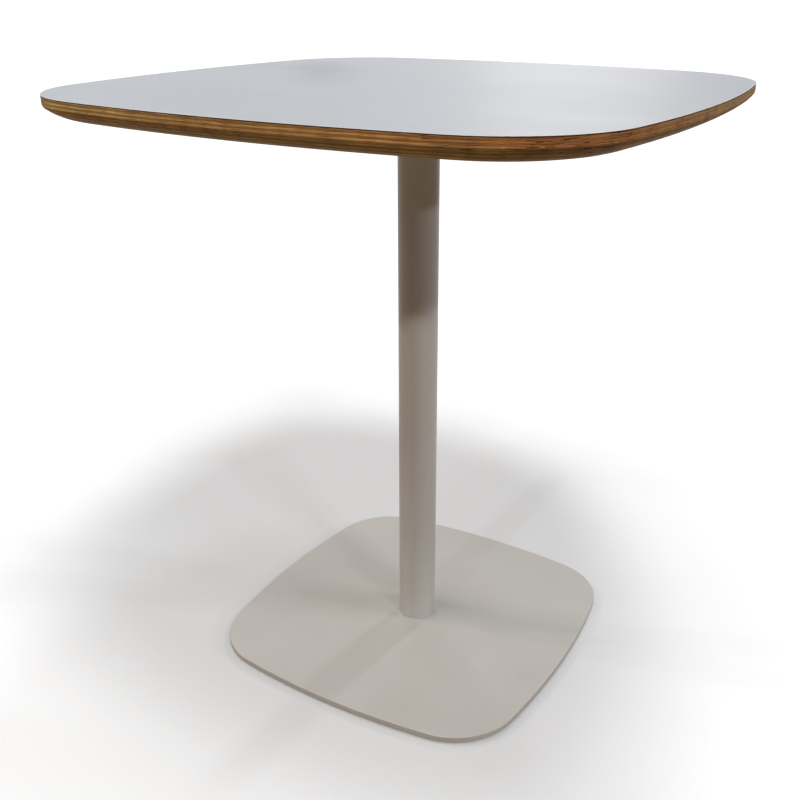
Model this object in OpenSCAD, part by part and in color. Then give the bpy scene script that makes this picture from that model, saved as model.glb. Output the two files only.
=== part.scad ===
// Cafe table: a plywood top faced with hard laminate, carried by one tube column on a flat steel base plate.
// Millimetres, +Z up. The origin is on the floor, under the middle of the column.

/* [Table] */
// Height of the top face above the floor
table_h = 740; // [600:5:1100]

/* [Table top] */
// Width of the top across its bowed sides
top_w = 700; // [600:10:800]
// Radius of each bowed side of the top
top_side_r = 1485.6; // [1200:0.1:2400]
// Radius of the top's corners
top_corner_r = 146; // [110:1:180]
// Thickness of the plywood core
ply_t = 24; // [21:0.5:32]
// Thickness of the hard laminate on the top face
laminate_t = 0.9; // [0.6:0.1:1.5]
// Round on the laminate's upper edge
laminate_ease_r = 0.4; // [0.1:0.1:0.5]
// Thickness of the laminate on the underside
backer_t = 0.8; // [0.5:0.1:1.5]
// Height of the upright band at the top of the edge
edge_band_h = 9; // [7:0.1:11]
// Radius of the round below that band
edge_r = 5.5; // [4:0.5:8]
// Distance from the rim to the flat underside
edge_undercut = 39.1; // [32:0.1:60]

/* [Base plate] */
// Width of the base plate across its bowed sides
base_w = 450; // [400:5:560]
// Radius of each bowed side of the base plate
base_side_r = 976.5; // [800:0.5:1600]
// Radius of the base plate's corners
base_corner_r = 90; // [70:1:110]
// Thickness of the base plate
base_t = 8; // [8:0.5:12]
// Round on the base plate's upper and lower edges
base_edge_r = 1; // [0.4:0.1:2]

/* [Column] */
// Outside diameter of the column tube
column_d = 50.8; // [48:0.1:70]
// Wall of the column tube
column_wall = 2; // [1.5:0.1:2.5]
// Thickness of the discs welded into the tube's ends
disc_t = 12; // [10:0.5:16]
// Length of the weld's legs behind each disc
weld_leg = 3; // [2:0.5:4]
// Gap between the tube and the base plate, where only the foot disc touches
shadow_gap = 0.4; // [0.2:0.1:1.5]

/* [Mounting plate] */
// Width of the square plate under the top
mount_w = 280; // [220:5:320]
// Radius of the mounting plate's corners
mount_corner_r = 24; // [10:1:40]
// Thickness of the mounting plate
mount_t = 5; // [5:0.5:8]
// Distance from the mounting plate's edges to its outer holes
mount_hole_inset = 25; // [18:1:40]

/* [Countersunk screws] */
// Diameter of the countersunk screws at both ends of the column
column_screw_d = 8; // [7:0.5:8]
// Diameter of their heads
column_screw_head_d = 16; // [15:0.5:17]
// Upright rim of their heads
column_screw_rim = 0.3; // [0.1:0.1:0.3]
// Length of the screws with their heads
column_screw_len = 16; // [13:1:18]
// Diameter of the circle that the four screws lie on
column_screw_circle_d = 28; // [26:0.5:29]
// Width across the flats of their hexagon sockets
column_screw_hex = 5; // [4:0.5:5]
// Depth of their hexagon sockets
column_screw_hex_depth = 3; // [2:0.5:3.5]
// Depth of the heads below the plate's face
head_recess = 0.2; // [0:0.1:0.2]

/* [Top screws] */
// Diameter of the screws that hold the top
top_screw_d = 6; // [5:0.5:6]
// Diameter of their domed heads
top_screw_head_d = 10.5; // [9.5:0.5:11.5]
// Height of their domed heads
top_screw_head_h = 3.3; // [3:0.1:4]
// Length of the screws below their heads
top_screw_len = 16; // [14:1:19]
// Width across the flats of their hexagon sockets
top_screw_hex = 4; // [3:0.5:4]
// Depth of their hexagon sockets
top_screw_hex_depth = 2; // [1.5:0.1:2.5]
// Diameter of the washers under their heads
washer_d = 12; // [12:0.5:18]
// Thickness of those washers
washer_t = 1.6; // [1:0.1:2]
// Outside diameter of the threaded inserts in the plywood
insert_d = 9; // [8.5:0.5:10]
// Length of the threaded inserts
insert_len = 13; // [11:0.5:15]
// Free depth of the holes beyond the inserts
insert_hole_spare = 3; // [2:0.5:4]

/* [Levelling glides] */
// Distance from the sides of the base plate to the glides
glide_inset = 60; // [56:1:90]
// Diameter of the glides' pads
pad_d = 26; // [22:1:32]
// Thickness of the pads
pad_t = 2.7; // [2.6:0.1:5]
// Thickness of the pads under the screws' flanges
pad_sole_t = 0.8; // [0.6:0.1:0.9]
// Bevel on the pads' lower edges
pad_bevel = 0.6; // [0.2:0.1:1]
// Diameter of the glides' screws
glide_screw_d = 8; // [7:0.5:9]
// Diameter of the flange that turns inside each pad
glide_flange_d = 14; // [13:0.5:16]
// Thickness of that flange
glide_flange_t = 1; // [0.7:0.1:1.1]
// Width across the flats of the glides' hexagon sockets
glide_hex = 4; // [3:0.5:4]
// Depth of the glides' hexagon sockets
glide_hex_depth = 2.5; // [2:0.5:4]
// Diameter of the key's hole through the sole of each pad
glide_key_hole_d = 7; // [6:0.5:8]
// Bevel on the tips of the glides' screws
glide_tip_bevel = 0.6; // [0.2:0.1:1]
// Steel left above the blind holes for the glides
blind_wall = 2; // [1.5:0.1:2.5]

/* [Fits] */
// Gap round what turns, and above the pads
running_gap = 0.3; // [0.2:0.05:0.4]
// Play of the glides' flanges, up and down
flange_play = 0.1; // [0.05:0.05:0.1]
// Gap round a screw in its thread or seat, an insert in its hole and a disc in the tube
seat_gap = 0.05; // [0.02:0.01:0.1]
// Room round a screw in a clearance hole
screw_room = 0.5; // [0.3:0.1:0.8]
// Free depth of the glides' holes beyond their screws
glide_hole_spare = 0.5; // [0.3:0.1:1]

/* [Hidden] */
$fn = 96;
// Facets in a full turn of the long outline arcs
outline_facets = 256;
// How far a cutting solid runs past the face that it cuts
overrun = 1;

// Heights of the faces, from the floor up
base_z = pad_t + running_gap;
base_top_z = base_z + base_t;
top_t = laminate_t + ply_t + backer_t;
underside_z = table_h - top_t;
mount_z = underside_z - mount_t;

// The edge below the band is a round, and then a wide sweep that meets the round and the underside without a kink.
// Their centres are measured from the rim and from the underside.
band_z = top_t - edge_band_h;
sweep_r = (pow(edge_undercut - edge_r, 2) + pow(band_z, 2) - pow(edge_r, 2)) / (2 * (band_z - edge_r));
round_c = [-edge_r, band_z];
sweep_c = [-edge_undercut, sweep_r];
// A point past the rim on the line through both centres, where the round ends and the sweep begins
sweep_cut = 2 * round_c - sweep_c;

disc_r = column_d / 2 - column_wall - seat_gap;
glide_x = base_w / 2 - glide_inset;
glide_hole_depth = base_t - blind_wall;
flange_z = pad_sole_t + flange_play;
flange_top_z = flange_z + glide_flange_t;
mount_hole_x = mount_w / 2 - mount_hole_inset;

bone = [0.73, 0.71, 0.68];
pale_grey = [0.77, 0.79, 0.81];
birch = [0.58, 0.41, 0.25];
warm_grey = [0.55, 0.54, 0.51];
zinc = [0.70, 0.71, 0.72];
brass = [0.74, 0.62, 0.36];
mill_steel = [0.45, 0.45, 0.46];
black_nylon = [0.12, 0.12, 0.13];

// Distance along either axis from the middle of a bowed square to the centre of its corner's arc
function corner_centre(width, side_r, corner_r) =
    let (back = side_r - width / 2)
    (sqrt(2 * pow(side_r - corner_r, 2) - pow(back, 2)) - back) / 2;

// Sweeps a half section round a square with bowed sides and round corners that meet without a kink.
// Each corner is a whole turned disc. It touches the sides from inside where its arc takes over from theirs.
// The section runs from $inner to $rim, which are distances from the centre of the arc in hand.
module bowed_square(width, side_r, corner_r, height) {
    back = side_r - width / 2;
    c = corner_centre(width, side_r, corner_r);
    seam = [c, c] + 0.3 * [c + back, c];
    for (turn = [0:90:270])
        rotate(turn) {
            intersection() {
                translate([-back, 0, 0])
                    rotate_extrude($fn = outline_facets)
                        let ($inner = back / 2, $rim = side_r) children();
                translate([0, 0, -overrun])
                    linear_extrude(height + 2 * overrun)
                        polygon([[0, -c], [c, -c], [seam.x, -seam.y], seam, [c, c], [0, c]]);
            }
            translate([c, c, 0])
                rotate_extrude($fn = outline_facets)
                    let ($inner = 0, $rim = corner_r) children();
        }
}

// The table top's half section, from the underside up, between two heights
module top_section(low, high) {
    intersection() {
        union() {
            translate([$inner, band_z])
                square([$rim - $inner, edge_band_h]);
            translate([$inner, 0])
                square([$rim - edge_undercut - $inner, top_t]);
            translate([$rim, 0]) {
                intersection() {
                    translate(round_c) circle(edge_r);
                    polygon([round_c, sweep_cut, [sweep_cut.x, band_z]]);
                }
                intersection() {
                    translate(sweep_c) circle(sweep_r);
                    polygon([round_c, sweep_cut, [-edge_undercut, sweep_cut.y], [-edge_undercut, band_z]]);
                }
            }
        }
        translate([$inner, low])
            square([$rim + overrun - $inner, high - low]);
    }
}

// A flat plate's half section, with round edges where a radius is given
module plate_section(thickness, upper_r, lower_r) {
    translate([$inner, 0])
        square([$rim - max(upper_r, lower_r) - $inner, thickness]);
    translate([$inner, lower_r])
        square([$rim - $inner, thickness - upper_r - lower_r]);
    translate([$rim - upper_r, thickness - upper_r])
        circle(upper_r);
    if (lower_r > 0)
        translate([$rim - lower_r, lower_r])
            circle(lower_r);
}

// A hexagon socket, from z = 0 up
module hex_socket(across_flats, depth) {
    translate([0, 0, -overrun])
        cylinder(d = across_flats / cos(30), h = depth + overrun, $fn = 6);
}

// Places of the four countersunk screws at either end of the column
module at_column_screws() {
    for (turn = [0:90:270])
        rotate(turn)
            translate([column_screw_circle_d / 2, 0, 0])
                children();
}

// Places of the eight screws that hold the top
module at_top_screws() {
    for (x = [-1, 0, 1], y = [-1, 0, 1])
        if (x != 0 || y != 0)
            translate([x * mount_hole_x, y * mount_hole_x, 0])
                children();
}

// Place of one glide, counted from the +X +Y corner
module at_glide(i) {
    rotate(90 * (i - 1))
        translate([glide_x, glide_x, 0])
            children();
}

// A countersunk screw, its head's face at z = 0 and its tip up
module countersunk_screw() {
    head_r = column_screw_head_d / 2;
    shank_r = column_screw_d / 2 - seat_gap;
    cone_h = head_r - shank_r;
    difference() {
        union() {
            cylinder(r = head_r, h = column_screw_rim);
            translate([0, 0, column_screw_rim])
                cylinder(r1 = head_r, r2 = shank_r, h = cone_h);
            cylinder(r = shank_r, h = column_screw_len);
        }
        hex_socket(column_screw_hex, column_screw_hex_depth);
    }
}

// The hole for a countersunk screw, from a plate's face at z = 0 up through the plate
module countersunk_hole(plate_t) {
    mouth_r = column_screw_head_d / 2 + seat_gap;
    clear_r = column_screw_d / 2 + screw_room;
    translate([0, 0, -overrun])
        cylinder(r = mouth_r, h = overrun + head_recess + column_screw_rim);
    translate([0, 0, head_recess + column_screw_rim])
        cylinder(r1 = mouth_r, r2 = clear_r, h = mouth_r - clear_r);
    cylinder(r = clear_r, h = plate_t + overrun);
}

// A disc with its weld behind it, its outer face at z = 0 and the weld up
module end_disc() {
    difference() {
        union() {
            cylinder(r = disc_r, h = disc_t);
            translate([0, 0, disc_t])
                rotate_extrude()
                    polygon([[disc_r - weld_leg, 0], [disc_r, 0], [disc_r, weld_leg]]);
        }
        at_column_screws()
            translate([0, 0, -overrun])
                cylinder(d = column_screw_d, h = disc_t + 2 * overrun);
    }
}

// Hard laminate on the top face
module laminate_top() {
    color(pale_grey)
        translate([0, 0, table_h - laminate_t])
            bowed_square(top_w, top_side_r, top_corner_r, laminate_t)
                plate_section(laminate_t, laminate_ease_r, 0);
}

// Plywood core, bored from below for the threaded inserts
module ply_core() {
    color(birch)
        difference() {
            translate([0, 0, underside_z])
                bowed_square(top_w, top_side_r, top_corner_r, top_t)
                    top_section(backer_t, top_t - laminate_t);
            insert_holes();
        }
}

// Laminate on the underside, which keeps the core flat
module laminate_backer() {
    color(warm_grey)
        difference() {
            translate([0, 0, underside_z])
                bowed_square(top_w, top_side_r, top_corner_r, backer_t)
                    top_section(0, backer_t);
            insert_holes();
        }
}

// Blind holes for the inserts, from the underside up
module insert_holes() {
    at_top_screws()
        translate([0, 0, underside_z - overrun])
            cylinder(r = insert_d / 2 + seat_gap, h = overrun + insert_len + insert_hole_spare);
}

// Threaded inserts, flush with the underside
module thread_inserts() {
    color(brass)
        at_top_screws()
            translate([0, 0, underside_z])
                difference() {
                    cylinder(d = insert_d, h = insert_len);
                    translate([0, 0, -overrun])
                        cylinder(d = top_screw_d, h = insert_len + 2 * overrun);
                }
}

// Square steel plate between the column and the top
module mounting_plate() {
    flat_w = mount_w - 2 * mount_corner_r;
    color(bone)
        difference() {
            translate([0, 0, mount_z])
                linear_extrude(mount_t) {
                    square([mount_w, flat_w], center = true);
                    square([flat_w, mount_w], center = true);
                    for (x = [-1, 1], y = [-1, 1])
                        translate([x, y] * flat_w / 2)
                            circle(mount_corner_r);
                }
            at_top_screws()
                translate([0, 0, mount_z - overrun])
                    cylinder(r = top_screw_d / 2 + screw_room, h = mount_t + 2 * overrun);
            translate([0, 0, underside_z])
                mirror([0, 0, 1])
                    at_column_screws()
                        countersunk_hole(mount_t);
        }
}

// Domed socket screws, up through the mounting plate into the inserts
module top_screws() {
    head_r = top_screw_head_d / 2;
    dome_r = (pow(head_r, 2) + pow(top_screw_head_h, 2)) / (2 * top_screw_head_h);
    color(zinc)
        at_top_screws()
            translate([0, 0, mount_z - washer_t])
                difference() {
                    union() {
                        intersection() {
                            translate([0, 0, dome_r - top_screw_head_h])
                                sphere(dome_r);
                            translate([0, 0, -top_screw_head_h])
                                cylinder(r = dome_r, h = top_screw_head_h);
                        }
                        cylinder(r = top_screw_d / 2 - seat_gap, h = top_screw_len);
                    }
                    translate([0, 0, -top_screw_head_h])
                        hex_socket(top_screw_hex, top_screw_hex_depth);
                }
}

// Flat washers under the domed heads
module top_washers() {
    color(zinc)
        at_top_screws()
            translate([0, 0, mount_z - washer_t])
                difference() {
                    cylinder(d = washer_d, h = washer_t);
                    translate([0, 0, -overrun])
                        cylinder(r = top_screw_d / 2 + screw_room / 2, h = washer_t + 2 * overrun);
                }
}

// Countersunk screws, down through the mounting plate into the head disc
module head_screws() {
    color(zinc)
        translate([0, 0, underside_z - head_recess])
            mirror([0, 0, 1])
                at_column_screws()
                    countersunk_screw();
}

// Disc welded flush into the column's upper end
module column_head_disc() {
    color(mill_steel)
        translate([0, 0, mount_z])
            mirror([0, 0, 1])
                end_disc();
}

// Column tube
module column_tube() {
    foot_z = base_top_z + shadow_gap;
    color(bone)
        translate([0, 0, foot_z])
            difference() {
                cylinder(d = column_d, h = mount_z - foot_z);
                translate([0, 0, -overrun])
                    cylinder(d = column_d - 2 * column_wall, h = mount_z - foot_z + 2 * overrun);
            }
}

// Disc welded into the column's lower end, a little proud of the tube
module column_foot_disc() {
    color(mill_steel)
        translate([0, 0, base_top_z])
            end_disc();
}

// Base plate, drilled from below for the column's screws and the glides
module base_plate() {
    color(bone)
        translate([0, 0, base_z])
            difference() {
                bowed_square(base_w, base_side_r, base_corner_r, base_t)
                    plate_section(base_t, base_edge_r, base_edge_r);
                at_column_screws()
                    countersunk_hole(base_t);
                for (i = [1:4])
                    at_glide(i)
                        translate([0, 0, -overrun])
                            cylinder(d = glide_screw_d, h = overrun + glide_hole_depth);
            }
}

// Countersunk screws, up through the base plate into the foot disc
module base_screws() {
    color(zinc)
        translate([0, 0, base_z + head_recess])
            at_column_screws()
                countersunk_screw();
}

// Nylon pad of a glide, hollow for the flange that turns in it
module glide_pad(i) {
    pad_r = pad_d / 2;
    cavity_h = glide_flange_t + 2 * flange_play;
    color(black_nylon)
        at_glide(i)
            difference() {
                union() {
                    cylinder(r1 = pad_r - pad_bevel, r2 = pad_r, h = pad_bevel);
                    translate([0, 0, pad_bevel])
                        cylinder(r = pad_r, h = pad_t - pad_bevel);
                }
                translate([0, 0, -overrun])
                    cylinder(d = glide_key_hole_d, h = pad_sole_t + 2 * overrun);
                translate([0, 0, pad_sole_t])
                    cylinder(r = glide_flange_d / 2 + running_gap, h = cavity_h);
                translate([0, 0, pad_sole_t])
                    cylinder(r = glide_screw_d / 2 + running_gap, h = pad_t);
            }
}

// Steel screw of a glide, with the flange that carries the pad and a hexagon socket from below
module glide_stud(i) {
    stud_r = glide_screw_d / 2 - seat_gap;
    tip_z = base_z + glide_hole_depth - glide_hole_spare;
    color(zinc)
        at_glide(i)
            difference() {
                union() {
                    translate([0, 0, flange_z])
                        cylinder(d = glide_flange_d, h = glide_flange_t);
                    translate([0, 0, flange_z])
                        cylinder(r = stud_r, h = tip_z - glide_tip_bevel - flange_z);
                    translate([0, 0, tip_z - glide_tip_bevel])
                        cylinder(r1 = stud_r, r2 = stud_r - glide_tip_bevel, h = glide_tip_bevel);
                }
                translate([0, 0, flange_z])
                    hex_socket(glide_hex, glide_hex_depth);
            }
}

laminate_top();
ply_core();
laminate_backer();
thread_inserts();
mounting_plate();
top_screws();
top_washers();
head_screws();
column_head_disc();
column_tube();
column_foot_disc();
base_plate();
base_screws();
for (i = [1:4]) {
    glide_pad(i);
    glide_stud(i);
}
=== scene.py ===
"""Cafe table: finishes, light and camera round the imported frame. Metres, row frame, +Z up."""

import math

import bpy
from mathutils import Matrix, Vector

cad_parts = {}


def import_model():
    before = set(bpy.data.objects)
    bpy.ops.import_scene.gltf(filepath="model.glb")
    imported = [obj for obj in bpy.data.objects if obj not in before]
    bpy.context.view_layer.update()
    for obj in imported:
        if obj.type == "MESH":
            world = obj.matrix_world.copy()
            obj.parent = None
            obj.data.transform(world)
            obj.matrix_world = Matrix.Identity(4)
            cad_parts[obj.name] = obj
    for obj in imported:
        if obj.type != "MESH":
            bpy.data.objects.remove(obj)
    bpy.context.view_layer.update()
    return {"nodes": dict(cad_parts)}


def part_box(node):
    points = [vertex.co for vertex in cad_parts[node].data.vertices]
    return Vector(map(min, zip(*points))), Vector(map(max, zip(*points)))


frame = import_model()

MM = 0.001
WHITE = (1.0, 1.0, 1.0)


# Sizes that the finishes follow

# The laminate's underside and its face
LAMINATE_LOW, LAMINATE_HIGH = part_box("laminate_top")
LAMINATE_Z = LAMINATE_LOW.z
TOP_Z = LAMINATE_HIGH.z
# Height of the upright band along the top's edge; below it the edge turns in
BAND_H = 9 * MM
BAND_FOOT_Z = TOP_Z - BAND_H
# Patterns that run along the edge are laid out at about the rim's distance from the middle
RIM_R = 380 * MM

PLY_T = 2.0 * MM
OUTER_PLY_T = 1.0 * MM
# How far the plies wander up and down, and how much of a ply its glue line takes
PLY_WANDER = 0.9 * MM
GLUE_SHARE = 0.12
# The dark joint under the laminate: how deep it reaches, and down to where it is fully dark
JOINT_T = 0.65 * MM
JOINT_DARK_T = 0.5 * MM
# Scuffs: how far from the band's foot they reach, and how far they keep their full strength
SCUFF_REACH = 0.5 * MM
SCUFF_CORE = 0.15 * MM
# The undercut's painted shade: how far below the band's foot it begins, and how soft the change is
UNDERCUT_START = 1.4 * MM
UNDERCUT_BLUR = 1.0 * MM
# The edge goes from golden to plain between these two places along X
GOLDEN_X = -340 * MM
PLAIN_X = 260 * MM

# The laminate's pale sheet lies over a dark core, and a painted highlight makes the sheet's side along the
# rim a white line
SHEET_T = 0.31 * MM
SHEET_BLUR = 0.03 * MM
RIM_HIGHLIGHT_T = 0.02 * MM
RIM_HIGHLIGHT_BLUR = 0.01 * MM

# A faint streak of painted dim reflection on the laminate, where the face is darker
STREAK_AT = (-183 * MM, 65 * MM, TOP_Z)
STREAK_WAY = (-0.58, 0.81, 0.0)
STREAK_ACROSS = (0.81, 0.58, 0.0)
STREAK_L = 160 * MM
STREAK_W = 48 * MM


# Helpers for shader nodes

def srgb(r, g, b):
    """A colour given as 0 to 255 display values, in the linear values that a shader takes."""
    shown = (r / 255, g / 255, b / 255)
    return tuple(c / 12.92 if c <= 0.04045 else ((c + 0.055) / 1.055) ** 2.4 for c in shown)


class Tree:
    """A node tree, with short calls for the nodes used here. Each call gives the node's output."""

    def __init__(self, tree):
        self.tree = tree

    def add(self, kind):
        return self.tree.nodes.new("ShaderNode" + kind)

    def feed(self, socket, value):
        """Links an output to the socket, or sets the socket to a value."""
        if isinstance(value, bpy.types.NodeSocket):
            self.tree.links.new(value, socket)
        elif isinstance(value, (tuple, list)) and len(value) == 3 and socket.type == "RGBA":
            socket.default_value = (*value, 1.0)
        else:
            socket.default_value = value

    def feed_all(self, sockets, values):
        for socket, value in zip(sockets, values):
            self.feed(socket, value)

    def math(self, operation, a, b=0.0, c=0.0):
        n = self.add("Math")
        n.operation = operation
        self.feed_all(n.inputs, (a, b, c))
        return n.outputs[0]

    def vector(self, operation, a, b=(0, 0, 0)):
        n = self.add("VectorMath")
        n.operation = operation
        self.feed(n.inputs[0], a)
        if operation == "SCALE":
            self.feed(n.inputs["Scale"], b)
            return n.outputs[0]
        self.feed(n.inputs[1], b)
        return n.outputs["Value"] if operation in ("LENGTH", "DOT_PRODUCT") else n.outputs[0]

    def split(self, vector):
        n = self.add("SeparateXYZ")
        self.feed(n.inputs[0], vector)
        return n.outputs

    def join(self, x, y, z):
        n = self.add("CombineXYZ")
        self.feed_all(n.inputs, (x, y, z))
        return n.outputs[0]

    def noise(self, vector, scale, detail=2.0, roughness=0.5, distortion=0.0):
        n = self.add("TexNoise")
        self.feed(n.inputs["Vector"], vector)
        self.feed(n.inputs["Scale"], scale)
        self.feed(n.inputs["Detail"], detail)
        self.feed(n.inputs["Roughness"], roughness)
        self.feed(n.inputs["Distortion"], distortion)
        return n.outputs["Fac"]

    def cells(self, vector, scale):
        n = self.add("TexVoronoi")
        self.feed(n.inputs["Vector"], vector)
        self.feed(n.inputs["Scale"], scale)
        return n.outputs["Distance"]

    def ramp(self, fac, *stops):
        """A colour ramp through the stops, each a place from 0 to 1 and its colour."""
        n = self.add("ValToRGB")
        points = n.color_ramp.elements
        while len(points) < len(stops):
            points.new(0.5)
        for point, (place, colour) in zip(points, stops):
            point.position = place
            point.color = (*colour, 1.0)
        self.feed(n.inputs[0], fac)
        return n.outputs["Color"]

    def remap(self, value, low, high, to_low=0.0, to_high=1.0, smooth=False):
        """Takes low to to_low and high to to_high, and holds those values outside."""
        n = self.add("MapRange")
        n.interpolation_type = "SMOOTHSTEP" if smooth else "LINEAR"
        self.feed_all(n.inputs, (value, low, high, to_low, to_high))
        return n.outputs[0]

    def spread(self, noise, low=0.0, high=1.0):
        """Spreads noise, which mostly lies between 0.3 and 0.7, from low to high."""
        return self.remap(noise, 0.3, 0.7, low, high)

    def above(self, value, edge, blur):
        """1 above the edge and 0 below it, with a slope that reaches blur to either side."""
        return self.remap(value, edge - blur, edge + blur)

    def below(self, value, edge, blur):
        """0 above the edge and 1 below it, with a slope that reaches blur to either side."""
        return self.remap(value, edge - blur, edge + blur, 1.0, 0.0)

    def mix(self, fac, a, b, blend="MIX"):
        n = self.add("Mix")
        n.data_type = "RGBA"
        n.blend_type = blend
        self.feed(n.inputs["Factor"], fac)
        self.feed_all([socket for socket in n.inputs if socket.type == "RGBA"], (a, b))
        return next(socket for socket in n.outputs if socket.type == "RGBA")

    def bump(self, height, strength, distance):
        n = self.add("Bump")
        self.feed(n.inputs["Strength"], strength)
        self.feed(n.inputs["Distance"], distance)
        self.feed(n.inputs["Height"], height)
        return n.outputs[0]


class Finish(Tree):
    """One material: its surface shader, and the object's own coordinates and normal for patterns."""

    def __init__(self, name):
        self.material = bpy.data.materials.new(name)
        self.material.use_nodes = True
        super().__init__(self.material.node_tree)
        self.bsdf = next(n for n in self.tree.nodes if n.type == "BSDF_PRINCIPLED")
        coordinates = self.add("TexCoord")
        self.place = coordinates.outputs["Object"]
        self.normal = coordinates.outputs["Normal"]

    def set(self, **values):
        """Sets or links inputs of the surface shader; an underscore stands for a space."""
        for name, value in values.items():
            self.feed(self.bsdf.inputs[name.replace("_", " ")], value)


# Laminate

LAMINATE_DEEP = srgb(176, 183, 193)
LAMINATE_PALE = srgb(182, 188, 197)
LAMINATE_FLECK = srgb(189, 195, 202)
# Painted highlight along the rim
PAINTED_RIM_HIGHLIGHT = srgb(246, 246, 243)
LAMINATE_CORE_DARK = srgb(44, 32, 24)
LAMINATE_CORE_LIGHT = srgb(70, 52, 38)
LAMINATE_CORE_ROUGHNESS = (0.62, 0.62, 0.62)
# Painted dim reflection: how much the streak darkens the face
DIM_REFLECTION_TINT = (0.82, 0.84, 0.86)


def streak(s, cloud):
    """How much each place of the laminate belongs to the streak of painted dim reflection."""
    from_middle = s.vector("SUBTRACT", s.place, STREAK_AT)
    lengthwise = s.math("DIVIDE", s.vector("DOT_PRODUCT", from_middle, STREAK_WAY), STREAK_L)
    crosswise = s.math("DIVIDE", s.vector("DOT_PRODUCT", from_middle, STREAK_ACROSS), STREAK_W)
    reach = s.vector("LENGTH", s.join(lengthwise, crosswise, 0.0))
    uneven = s.math("ADD", reach, s.spread(cloud, -0.15, 0.15))
    return s.remap(uneven, 0.1, 1.5, 1.0, 0.0, smooth=True)


def laminate():
    """Satin pale grey laminate with a dark brown core that shows along the rim, a painted highlight on the
    rim and a streak of painted dim reflection on the face.
    """
    s = Finish("laminate_satin")
    z = s.split(s.place)[2]
    cloud = s.noise(s.place, scale=6.0, detail=3.0)
    fleck = s.noise(s.place, scale=1400.0, roughness=0.6)
    face = s.mix(s.spread(cloud), LAMINATE_DEEP, LAMINATE_PALE)
    face = s.mix(s.spread(fleck, 0.0, 0.35), face, LAMINATE_FLECK)
    # Painted dim reflection: the face is darker in the streak
    face = s.mix(streak(s, cloud), face, DIM_REFLECTION_TINT, "MULTIPLY")
    on_face = s.above(z, TOP_Z - SHEET_T, SHEET_BLUR)
    # Painted highlight: the sheet's side along the rim is painted near white
    painted_rim_highlight = s.math("MULTIPLY", on_face, s.below(z, TOP_Z - RIM_HIGHLIGHT_T, RIM_HIGHLIGHT_BLUR))
    face = s.mix(painted_rim_highlight, face, PAINTED_RIM_HIGHLIGHT)
    core = s.mix(s.noise(s.place, scale=600.0), LAMINATE_CORE_DARK, LAMINATE_CORE_LIGHT)
    s.set(Base_Color=s.mix(on_face, core, face))
    lengthened = s.vector("MULTIPLY", s.place, (3.0, 9.0, 3.0))
    wiped = s.noise(lengthened, scale=1.0, detail=4.0, roughness=0.55, distortion=0.6)
    rough = s.math("ADD", s.spread(wiped, 0.36, 0.42), s.spread(fleck, -0.02, 0.02))
    s.set(Roughness=s.mix(on_face, LAMINATE_CORE_ROUGHNESS, rough))
    fine = s.math("MULTIPLY", s.noise(s.place, scale=700.0), 0.6)
    grain = s.math("ADD", s.cells(s.place, scale=1700.0), fine)
    s.set(Normal=s.bump(grain, strength=0.12, distance=0.05 * MM))
    return s.material


# Plywood

LIGHT_PLY = ((0.28, srgb(182, 134, 82)), (0.5, srgb(222, 178, 120)), (0.72, srgb(244, 206, 154)))
DARK_PLY = ((0.28, srgb(132, 84, 42)), (0.5, srgb(176, 124, 72)), (0.72, srgb(204, 154, 98)))
STAIN = srgb(150, 92, 44)
HAIRLINE = srgb(98, 54, 22)
BLOTCH = srgb(120, 92, 52)
GLUE = srgb(84, 46, 20)
OPEN_FLAW = srgb(58, 34, 20)
SCUFF = srgb(240, 220, 180)
JOINT = srgb(50, 30, 17)
# Cells of the patterns along the edge, each with its length round it and its height, and the size of dots
WANDER_CELL = (60 * MM, 16 * MM)
STREAK_CELL = (16 * MM, 0.9 * MM)
HAIR_CELL = (26 * MM, 0.6 * MM)
STAIN_CELL = (110 * MM, 2.6 * MM)
FLAW_CELL = (15 * MM, 1.1 * MM)
SCUFF_CELL = (7 * MM, 0.8 * MM)
DOT_SIZE = 0.9 * MM
# Shifts that keep one pattern from repeating another: from ply to ply, for flaws and for scuffs
PLY_SHIFT = 3.7
FLAW_SHIFT = 2.7
SCUFF_SHIFT = 9.3
# Tints that multiply the wood: on the whole edge, and once more on the undercut below the band, where they
# are painted shade
GOLDEN_TINT = (0.98, 1.32, 1.43)
CORNER_TINT = (0.98, 0.80, 0.70)
SIDE_TINT = (0.71, 0.76, 0.84)
FAR_TINT = (0.72, 0.78, 0.88)
# Painted shade on the undercut, for each stretch of the edge
UNDERCUT_SHADE_PLAIN = (0.90, 1.36, 1.85)
UNDERCUT_SHADE_GOLDEN = (0.80, 0.70, 0.57)
UNDERCUT_SHADE_SIDE = (0.50, 0.48, 0.38)
UNDERCUT_SHADE_CORNER = (0.86, 0.90, 0.95)
# How strongly glue lines, scuffs and the dark joint show, and how many more flaws the corners have
GLUE_STRENGTH = 0.4
SCUFF_STRENGTH = 0.65
JOINT_STRENGTH = 0.9
CORNER_FLAWS = 0.05


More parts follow.
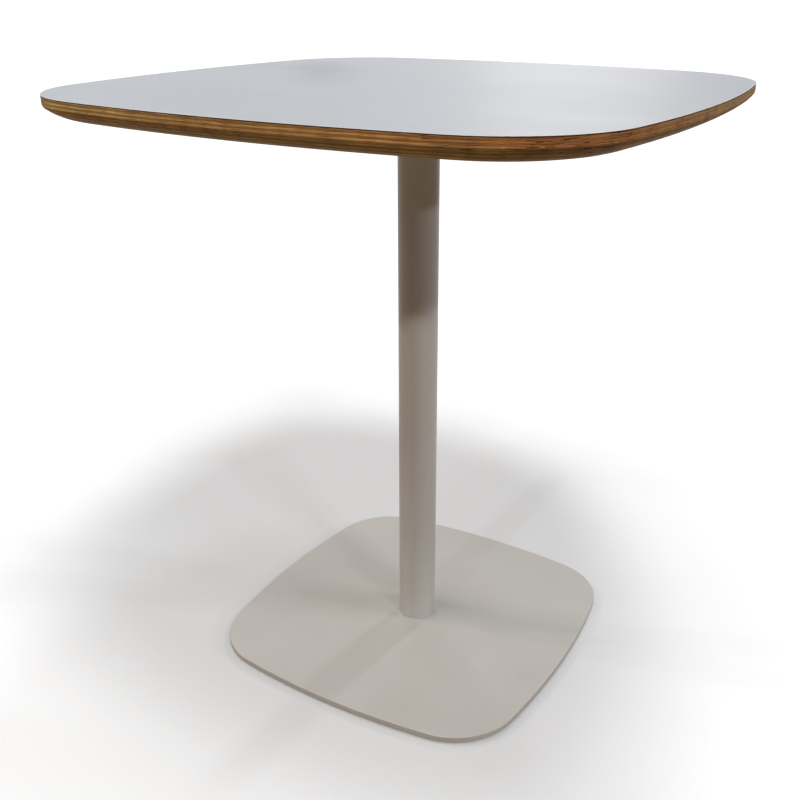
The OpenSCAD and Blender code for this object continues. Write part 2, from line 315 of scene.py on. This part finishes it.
class Plywood(Finish):
    """Oiled plywood: plies by height, their grain along the edge or as dots, tints, flaws, scuffs, and
    painted shade on the undercut.
    """

    def __init__(self):
        super().__init__("plywood_oiled")
        x, y, self.z = self.split(self.place)
        outwards = self.vector("NORMALIZE", self.join(x, y, 0.0))
        self.round_way = self.vector("SCALE", outwards, RIM_R)
        nx, ny = self.split(self.normal)[:2]
        turned = self.math("ABSOLUTE", nx)
        # Stretches of the edge that differ: the two sides across X, the corners towards -Y, the far side
        self.side = self.remap(turned, 0.3, 0.95)
        near_side = self.remap(ny, -0.17, -0.03, 1.0, 0.0)
        self.corner = self.math("MULTIPLY", self.remap(turned, 0.25, 0.6), near_side)
        self.far = self.remap(ny, -0.05, 0.3)
        self.golden = self.remap(x, GOLDEN_X, PLAIN_X, 1.0, 0.0, smooth=True)
        self.blotch = self.noise(self.place, scale=22.0, detail=4.0, roughness=0.6)

    def along(self, cell, shift=0.0):
        """Noise in cells of a given length round the edge and a given height."""
        length, height = cell
        level = self.math("ADD", self.math("DIVIDE", self.z, height), shift)
        stretched = self.vector("SCALE", self.round_way, 1 / length)
        place = self.vector("ADD", stretched, self.join(0.0, 0.0, level))
        return self.noise(place, scale=1.0, detail=3.0, roughness=0.6)

    def plies(self):
        """The number of the ply at each place, and how far through it that place lies. They run uneven."""
        uneven = self.math("SUBTRACT", self.along(WANDER_CELL), 0.5)
        wander = self.math("MULTIPLY", uneven, PLY_WANDER)
        depth = self.math("SUBTRACT", LAMINATE_Z, self.math("ADD", self.z, wander))
        level = self.math("DIVIDE", self.math("ADD", depth, PLY_T - OUTER_PLY_T), PLY_T)
        ply = self.math("FLOOR", level)
        return ply, self.math("SUBTRACT", level, ply)

    def veneer(self, ply):
        """The grain and the colour of a ply. Every other ply is crossed: dots break up its streaks."""
        crossed = self.math("MODULO", ply, 2.0)
        own = self.math("MULTIPLY", ply, PLY_SHIFT)
        streaks = self.along(STREAK_CELL, own)
        hairs = self.along(HAIR_CELL, own)
        stains = self.along(STAIN_CELL, own)
        in_dots = self.vector("SCALE", self.place, 1 / DOT_SIZE)
        dots = self.noise(in_dots, scale=1.0, detail=3.0, roughness=0.65)
        grain = self.mix(crossed, streaks, self.mix(0.5, streaks, dots))
        # The two looks change places on the sides, where the edge cuts the grain the other way
        tone = self.mix(self.side, crossed, self.remap(crossed, 0.0, 1.0, 0.6, 0.2))
        wood = self.mix(tone, self.ramp(grain, *LIGHT_PLY), self.ramp(grain, *DARK_PLY))
        wood = self.mix(self.remap(stains, 0.35, 0.7, 0.0, 0.45), wood, STAIN)
        wood = self.mix(self.remap(hairs, 0.52, 0.62, 0.0, 0.65), wood, HAIRLINE)
        return grain, self.mix(self.remap(self.blotch, 0.4, 0.75, 0.0, 0.35), wood, BLOTCH)

    def tinted(self, wood):
        """One length of the edge is more golden and the corners are redder, as veneers differ."""
        wood = self.mix(self.golden, wood, GOLDEN_TINT, "MULTIPLY")
        wood = self.mix(self.corner, wood, CORNER_TINT, "MULTIPLY")
        wood = self.mix(self.side, wood, SIDE_TINT, "MULTIPLY")
        return self.mix(self.far, wood, FAR_TINT, "MULTIPLY")

    def flaws(self):
        """Short open flaws and small knots, more of them at the corners."""
        pits = self.math("MULTIPLY_ADD", self.corner, CORNER_FLAWS, self.along(FLAW_CELL, FLAW_SHIFT))
        return self.math("MULTIPLY", self.remap(pits, 0.64, 0.68), self.remap(self.blotch, 0.42, 0.5))

    def scuffs(self):
        """Pale scuffs on the line where the upright band ends."""
        off_line = self.math("ABSOLUTE", self.math("SUBTRACT", self.z, BAND_FOOT_Z))
        on_line = self.remap(off_line, SCUFF_CORE, SCUFF_REACH, 1.0, 0.0)
        marks = self.math("MULTIPLY", on_line, self.remap(self.along(SCUFF_CELL, SCUFF_SHIFT), 0.54, 0.6))
        stretches = self.noise(self.place, scale=7.0, detail=1.0)
        marks = self.math("MULTIPLY", marks, self.remap(stretches, 0.46, 0.54))
        return self.math("MULTIPLY", marks, SCUFF_STRENGTH)

    def shaded(self, wood):
        """Painted shade on the undercut, which faces down: tints that darken the wood and make it greyer.
        The joint on top is dark.
        """
        # Painted shade where the edge turns in below the band
        undercut = self.below(self.z, BAND_FOOT_Z - UNDERCUT_START, UNDERCUT_BLUR)
        shade = self.mix(self.golden, UNDERCUT_SHADE_PLAIN, UNDERCUT_SHADE_GOLDEN)
        shade = self.mix(self.side, shade, UNDERCUT_SHADE_SIDE)
        shade = self.mix(self.corner, shade, UNDERCUT_SHADE_CORNER, "MULTIPLY")
        wood = self.mix(undercut, wood, shade, "MULTIPLY")
        foot = LAMINATE_Z - JOINT_T
        joint = self.remap(self.z, foot, LAMINATE_Z - JOINT_DARK_T, 0.0, JOINT_STRENGTH)
        return self.mix(joint, wood, JOINT)

    def made(self):
        ply, through = self.plies()
        grain, wood = self.veneer(ply)
        wood = self.tinted(wood)
        glue = self.remap(through, 0.0, GLUE_SHARE, GLUE_STRENGTH, 0.0)
        wood = self.mix(glue, wood, GLUE)
        flaws = self.flaws()
        wood = self.mix(flaws, wood, OPEN_FLAW)
        wood = self.mix(self.scuffs(), wood, SCUFF)
        self.set(Base_Color=self.shaded(wood))
        self.set(Roughness=self.spread(grain, 0.62, 0.5), Specular_IOR_Level=0.02)
        sunk = self.math("MULTIPLY", self.math("ADD", glue, flaws), -0.8)
        relief = self.math("ADD", self.math("MULTIPLY", grain, 0.6), sunk)
        self.set(Normal=self.bump(relief, strength=0.4, distance=0.15 * MM))
        return self.material


# Coat, backer, metals and nylon

COAT_DEEP = srgb(189, 187, 184)
COAT_PALE = srgb(195, 193, 191)
COAT_SPECK = srgb(166, 161, 153)
BACKER_DEEP = srgb(110, 107, 100)
BACKER_PALE = srgb(122, 119, 112)
NYLON_DEEP = srgb(30, 30, 31)
NYLON_PALE = srgb(42, 41, 41)


def powder_coat():
    """Warm grey powder coat with a fine orange peel."""
    s = Finish("powder_coat_bone")
    cloud = s.noise(s.place, scale=9.0, detail=3.0)
    speck = s.noise(s.place, scale=2200.0, detail=1.0)
    colour = s.mix(s.spread(cloud), COAT_DEEP, COAT_PALE)
    colour = s.mix(s.remap(speck, 0.62, 0.75, 0.0, 0.25), colour, COAT_SPECK)
    s.set(Base_Color=colour, Roughness=s.spread(cloud, 0.4, 0.46))
    peel = s.noise(s.place, scale=620.0, roughness=0.4)
    s.set(Normal=s.bump(peel, strength=0.25, distance=0.06 * MM))
    return s.material


def balance_sheet():
    """Matt brown-grey sheet on the underside."""
    s = Finish("backer_matt")
    lengthened = s.vector("MULTIPLY", s.place, (40.0, 500.0, 40.0))
    fibre = s.noise(lengthened, scale=1.0, detail=3.0, roughness=0.6)
    s.set(Base_Color=s.mix(s.spread(fibre), BACKER_DEEP, BACKER_PALE))
    s.set(Roughness=s.spread(fibre, 0.6, 0.72))
    s.set(Normal=s.bump(fibre, strength=0.15, distance=0.05 * MM))
    return s.material


def metal(name, low, high, rough):
    """A fine-grained metal, slightly uneven in tone and shine."""
    s = Finish(name)
    fine = s.noise(s.place, scale=500.0, detail=3.0, roughness=0.6)
    cloud = s.noise(s.place, scale=45.0, detail=3.0)
    both = s.math("MULTIPLY_ADD", fine, 0.5, s.math("MULTIPLY", cloud, 0.5))
    s.set(Base_Color=s.mix(s.remap(both, 0.35, 0.65), low, high))
    s.set(Metallic=1.0, Roughness=s.remap(both, 0.35, 0.65, rough, rough + 0.12))
    s.set(Normal=s.bump(fine, strength=0.15, distance=0.03 * MM))
    return s.material


def nylon():
    """Black moulded nylon."""
    s = Finish("nylon_black")
    cloud = s.noise(s.place, scale=60.0, detail=3.0)
    s.set(Base_Color=s.mix(s.spread(cloud), NYLON_DEEP, NYLON_PALE))
    s.set(Roughness=s.spread(cloud, 0.5, 0.62))
    fine = s.noise(s.place, scale=900.0)
    s.set(Normal=s.bump(fine, strength=0.2, distance=0.04 * MM))
    return s.material


POWDER_COAT = powder_coat()
ZINC_STEEL = metal("zinc_plated", srgb(168, 170, 172), srgb(190, 192, 194), rough=0.3)
BRASS = metal("brass_turned", srgb(176, 140, 76), srgb(200, 166, 98), rough=0.28)
BARE_STEEL = metal("steel_bare", srgb(96, 96, 98), srgb(128, 128, 129), rough=0.38)
NYLON = nylon()
GLIDES = (1, 2, 3, 4)

FINISHES = {
    "laminate_top": laminate(),
    "ply_core": Plywood().made(),
    "laminate_backer": balance_sheet(),
    "thread_inserts": BRASS,
    "mounting_plate": POWDER_COAT,
    "column_tube": POWDER_COAT,
    "base_plate": POWDER_COAT,
    "column_head_disc": BARE_STEEL,
    "column_foot_disc": BARE_STEEL,
    "top_screws": ZINC_STEEL,
    "top_washers": ZINC_STEEL,
    "head_screws": ZINC_STEEL,
    "base_screws": ZINC_STEEL,
    **{f"glide_stud_{i}": ZINC_STEEL for i in GLIDES},
    **{f"glide_pad_{i}": NYLON for i in GLIDES},
}

for name, node in frame["nodes"].items():
    node.data.materials.clear()
    node.data.materials.append(FINISHES[name])


# Camera

LENS = 43.942
SENSOR_W = 36.0
SHIFT_X = -0.02023
SHIFT_Y = -0.01255
CAMERA_AT = (0.591371, -1.023109, 0.852850)
CAMERA_FORWARD = Vector((-0.462678, 0.796779, -0.388681))
CAMERA_RIGHT = Vector((0.864283, 0.503000, 0.002303))


def camera():
    """The photograph's camera, in front of the corner between +X and -Y."""
    data = bpy.data.cameras.new("camera")
    data.sensor_width = SENSOR_W
    data.lens = LENS
    data.shift_x = SHIFT_X
    data.shift_y = SHIFT_Y
    data.clip_start = 0.02
    data.clip_end = 200.0
    cam = bpy.data.objects.new("camera", data)
    up = CAMERA_RIGHT.cross(CAMERA_FORWARD)
    turn = Matrix((CAMERA_RIGHT, up, -CAMERA_FORWARD)).transposed().to_4x4()
    cam.matrix_world = Matrix.Translation(CAMERA_AT) @ turn
    bpy.context.scene.collection.objects.link(cam)
    bpy.context.scene.camera = cam


# Floor and world

FLOOR_SIZE = 160.0
FLOOR_DROP = 0.2 * MM
# What the camera and the glossy faces see, and what the floor throws back: less of that on the right
FLOOR_SEEN = (0.547, 0.56, 0.588)
BOUNCE_LEFT = (0.250, 0.128, 0.034)
BOUNCE_RIGHT = (0.180, 0.090, 0.021)
# The picture's right along the floor's own axes, and where on it the change starts and ends
RIGHTWARDS = (0.379, 0.925, 0.0)
RIGHT_FROM = -500 * MM
RIGHT_TO = 700 * MM

# The soft pool of painted shadow round the foot: its place and turn, its reach along its own axes both
# ways, and the power that rounds it, where 2 would make an ellipse
POOL_CENTRE = (-199 * MM, 172 * MM)
POOL_TURN = math.radians(-37.7)
POOL_X = 740 * MM
POOL_X_BACK = 477 * MM
POOL_Y = 413 * MM
POOL_Y_BACK = 527 * MM
POOL_POWER = 1.5
# How much the floor's brightness is lifted: in the pool, past its edge, and on top of that in the open
POOL_LIFT = 0.195
PAST_LIFT = 0.507
OPEN_LIFT = 0.12
# Where these lifts start and end, in shares of the pool's reach
POOL_END = 0.72
PAST_START = 1.214
OPEN_START = 1.1
OPEN_FULL = 1.7


def pool(s):
    """How far out from the pool's middle each place of the floor lies: about 1 at the pool's edge."""
    x, y = s.split(s.place)[:2]
    along_x = s.math("MAXIMUM", s.math("DIVIDE", x, POOL_X), s.math("DIVIDE", x, -POOL_X_BACK))
    along_y = s.math("MAXIMUM", s.math("DIVIDE", y, POOL_Y), s.math("DIVIDE", y, -POOL_Y_BACK))
    both = s.math("ADD", s.math("POWER", along_x, POOL_POWER), s.math("POWER", along_y, POOL_POWER))
    return s.math("POWER", both, 1 / POOL_POWER)


def floor():
    """A white floor with a soft pool of painted shadow round the foot of the table, where it is lifted
    less; the lamps' shadows fall on it too.
    """
    at = (*POOL_CENTRE, -FLOOR_DROP)
    bpy.ops.mesh.primitive_plane_add(size=FLOOR_SIZE, location=at, rotation=(0, 0, POOL_TURN))
    plane = bpy.context.object
    plane.name = "floor"
    s = Finish("floor_white")
    path = s.add("LightPath")
    seen = s.math("MAXIMUM", path.outputs["Is Camera Ray"], path.outputs["Is Glossy Ray"])
    rightness = s.remap(s.vector("DOT_PRODUCT", s.place, RIGHTWARDS), RIGHT_FROM, RIGHT_TO, smooth=True)
    bounce = s.mix(rightness, BOUNCE_LEFT, BOUNCE_RIGHT)
    s.set(Base_Color=s.mix(seen, bounce, FLOOR_SEEN), Roughness=0.9, Specular_IOR_Level=0.0)
    out = pool(s)
    # Painted shadow: less lift inside the pool, so the floor is darker there
    near_lift = s.remap(out, POOL_END, PAST_START, POOL_LIFT, PAST_LIFT, smooth=True)
    open_lift = s.remap(out, OPEN_START, OPEN_FULL, 0.0, OPEN_LIFT, smooth=True)
    lift = s.math("MULTIPLY", seen, s.math("ADD", near_lift, open_lift))
    s.set(Emission_Color=WHITE, Emission_Strength=lift)
    plane.data.materials.append(s.material)


# Walls that the glossy faces reflect: the azimuth of the middle, the cosine of half the width, the share
# taken off the brightness, or added where it is negative, and the sine of the elevation at the upper end
WALLS = (
    (145, 0.95, 0.2, 1.0),
    (126, 0.98, 0.6, 0.24),
    (115, 0.985, -0.2, 1.0),
    (100, 0.98, 0.42, 1.0),
)
# Brightness at the horizon and of the sky, which starts at this sine of the elevation
HORIZON_LEVEL = 0.44
SKY_LEVEL = 0.98
SKY_FROM = 0.25


def world():
    """White to the camera, and in reflections a studio with a dim horizon and walls. It lights nothing."""
    studio = bpy.data.worlds.new("studio")
    bpy.context.scene.world = studio
    studio.use_nodes = True
    s = Tree(studio.node_tree)
    background = next(n for n in s.tree.nodes if n.type == "BACKGROUND")
    s.feed(background.inputs["Color"], WHITE)
    path = s.add("LightPath")
    towards = s.add("TexCoord").outputs["Generated"]
    x, y, height = s.split(towards)
    level = s.vector("NORMALIZE", s.join(x, y, 0.0))
    reflected = s.remap(height, 0.0, SKY_FROM, HORIZON_LEVEL, SKY_LEVEL)
    for azimuth, reach, dimming, top in WALLS:
        a = math.radians(azimuth)
        near = s.vector("DOT_PRODUCT", level, (math.cos(a), math.sin(a), 0.0))
        by_azimuth = s.remap(near, reach, 1.0, 0.0, dimming, smooth=True)
        dimmed = s.math("MULTIPLY", by_azimuth, s.remap(height, top / 2, top, 1.0, 0.0))
        reflected = s.math("MULTIPLY", reflected, s.math("SUBTRACT", 1.0, dimmed))
    reflected = s.math("MULTIPLY", path.outputs["Is Glossy Ray"], reflected)
    s.feed(background.inputs["Strength"], s.math("MAXIMUM", path.outputs["Is Camera Ray"], reflected))


# Lamps

WARM = (1.0, 0.88, 0.70)
SLIGHTLY_WARM = (1.0, 0.94, 0.88)
STREAK_LIGHT = (1.0, 0.94, 0.91)
LAMP_DISTANCE = 3.0


def lamp(name, azimuth, elevation, share, size, colour=WHITE):
    """A far lamp. Its angles are in degrees, and its azimuth runs from +X towards +Y.

    Its share is what it adds to the brightness of a white face that looks up.
    """
    data = bpy.data.lights.new(name, "SUN")
    a = math.radians(azimuth)
    e = math.radians(elevation)
    data.energy = share * math.pi / math.sin(e)
    data.angle = math.radians(size)
    data.color = colour
    lit = bpy.data.objects.new(name, data)
    towards = Vector((math.cos(a) * math.cos(e), math.sin(a) * math.cos(e), math.sin(e)))
    lit.rotation_mode = "QUATERNION"
    lit.rotation_quaternion = towards.to_track_quat("Z", "Y")
    lit.location = towards * LAMP_DISTANCE
    bpy.context.scene.collection.objects.link(lit)


def lamps():
    """Soft light from above, lamps all round whose shadows cross on the base, and a low one behind."""
    lamp("lamp_left_low", azimuth=222, elevation=22, share=0.020, size=14, colour=WARM)
    lamp("lamp_overhead", azimuth=315, elevation=60, share=0.135, size=16)
    lamp("lamp_overhead_back", azimuth=75, elevation=69, share=0.135, size=10)
    lamp("lamp_back", azimuth=140, elevation=42, share=0.03, size=9)
    lamp("lamp_back_right", azimuth=84.7, elevation=44, share=0.07, size=3)
    for i, azimuth in enumerate((329.5, 335.3), 1):
        lamp(f"lamp_front_right_{i}", azimuth, elevation=35.5, share=0.043, size=2)
    lamp("lamp_front", azimuth=300, elevation=36, share=0.066, size=2, colour=WARM)
    lamp("lamp_front_left", azimuth=269.5, elevation=40, share=0.05, size=2)
    for i, azimuth in enumerate((214, 231, 248), 1):
        lamp(f"lamp_left_high_{i}", azimuth, elevation=54, share=0.05, size=7, colour=SLIGHTLY_WARM)
    for i, (azimuth, elevation) in enumerate(((193, 39.8), (201, 38.5)), 1):
        lamp(f"lamp_left_{i}", azimuth, elevation, share=0.055, size=1.5, colour=WARM)
    for i, (azimuth, elevation) in enumerate(((11, 38.7), (18, 37.7), (25, 36.3)), 1):
        lamp(f"lamp_right_{i}", azimuth, elevation, share=0.019, size=1.2)
    for i, azimuth in enumerate((13, 22), 1):
        lamp(f"lamp_right_low_{i}", azimuth, elevation=20.3, share=0.028, size=1.2)
    lamp("lamp_streak", azimuth=111, elevation=9, share=0.0018, size=12, colour=STREAK_LIGHT)


bpy.context.scene.view_settings.view_transform = "Standard"
camera()
floor()
world()
lamps()
